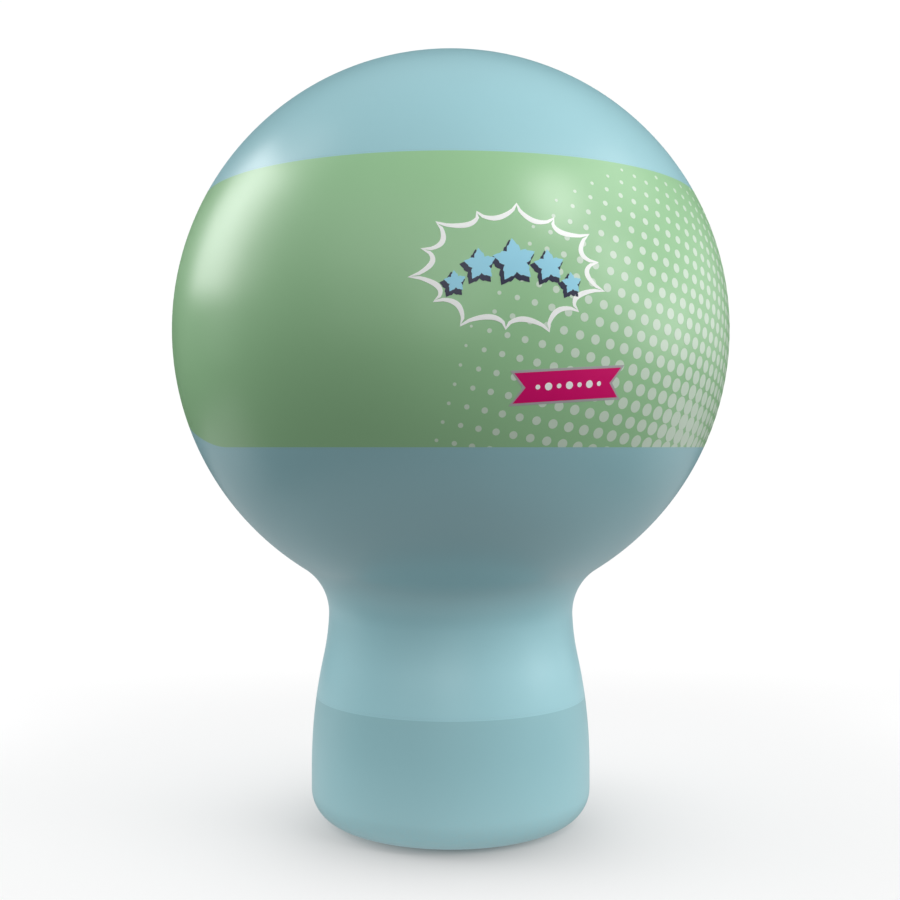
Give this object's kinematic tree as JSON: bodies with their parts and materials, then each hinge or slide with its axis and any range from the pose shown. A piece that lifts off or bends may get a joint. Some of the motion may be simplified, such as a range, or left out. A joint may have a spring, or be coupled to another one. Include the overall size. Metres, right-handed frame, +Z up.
{
  "type": "fan-inflated advertising balloon",
  "caption": "Free-standing inflated advertising balloon: a ball on a waisted neck and a round flat base, with an inflation fan and a zip in its back.",
  "frame": {"origin": "middle of the round print of the base on the floor", "axes": "+Z up, -Y towards the printed front, +Y towards the fan and the zip at the back"},
  "size_m": [2.1706, 2.1706, 3.0023],
  "materials": {
    "pale_blue_cloth": "coated, satin",
    "printed_cloth": "coated and printed, satin",
    "base_cloth": "coated, matt",
    "floor_cloth": "heavy coated cloth",
    "webbing": "woven",
    "label_tape": "woven satin",
    "grey_plastic": "moulded, fine texture",
    "black_plastic": "moulded",
    "zinc_metal": "bright zinc plate",
    "plated_steel": "plated",
    "painted_motor": "black paint"
  },
  "bodies": {
    "balloon": {"crown_cap": "pale_blue_cloth", "crown_patch": "pale_blue_cloth", "printed_band": "printed_cloth", "lower_bowl": "pale_blue_cloth", "neck_panel": "pale_blue_cloth", "base_skirt": "base_cloth", "base_floor": "floor_cloth", "intake_patch": "base_cloth", "intake_cuff": "base_cloth", "cuff_strap": "webbing", "cuff_buckle": "zinc_metal", "fan_housing": "grey_plastic", "fan_guard": "zinc_metal", "fan_motor": "painted_motor", "motor_bracket": "plated_steel", "switch_box": "grey_plastic", "power_inlet": "black_plastic", "rocker_switch": "black_plastic", "zip_tape": "webbing", "zip_teeth": "webbing", "zip_hood": "pale_blue_cloth", "zip_slider": "zinc_metal", "zip_pull": "zinc_metal", "care_label": "label_tape"},
    "wheel": {"fan_rotor": "black_plastic"}
  },
  "joints": [
    {"name": "fan_spin", "type": "hinge", "parent": "balloon", "child": "wheel", "pos_m": [0, 0.5475, 0.295], "axis": [0, 1, 0], "continuous": true}
  ]
}
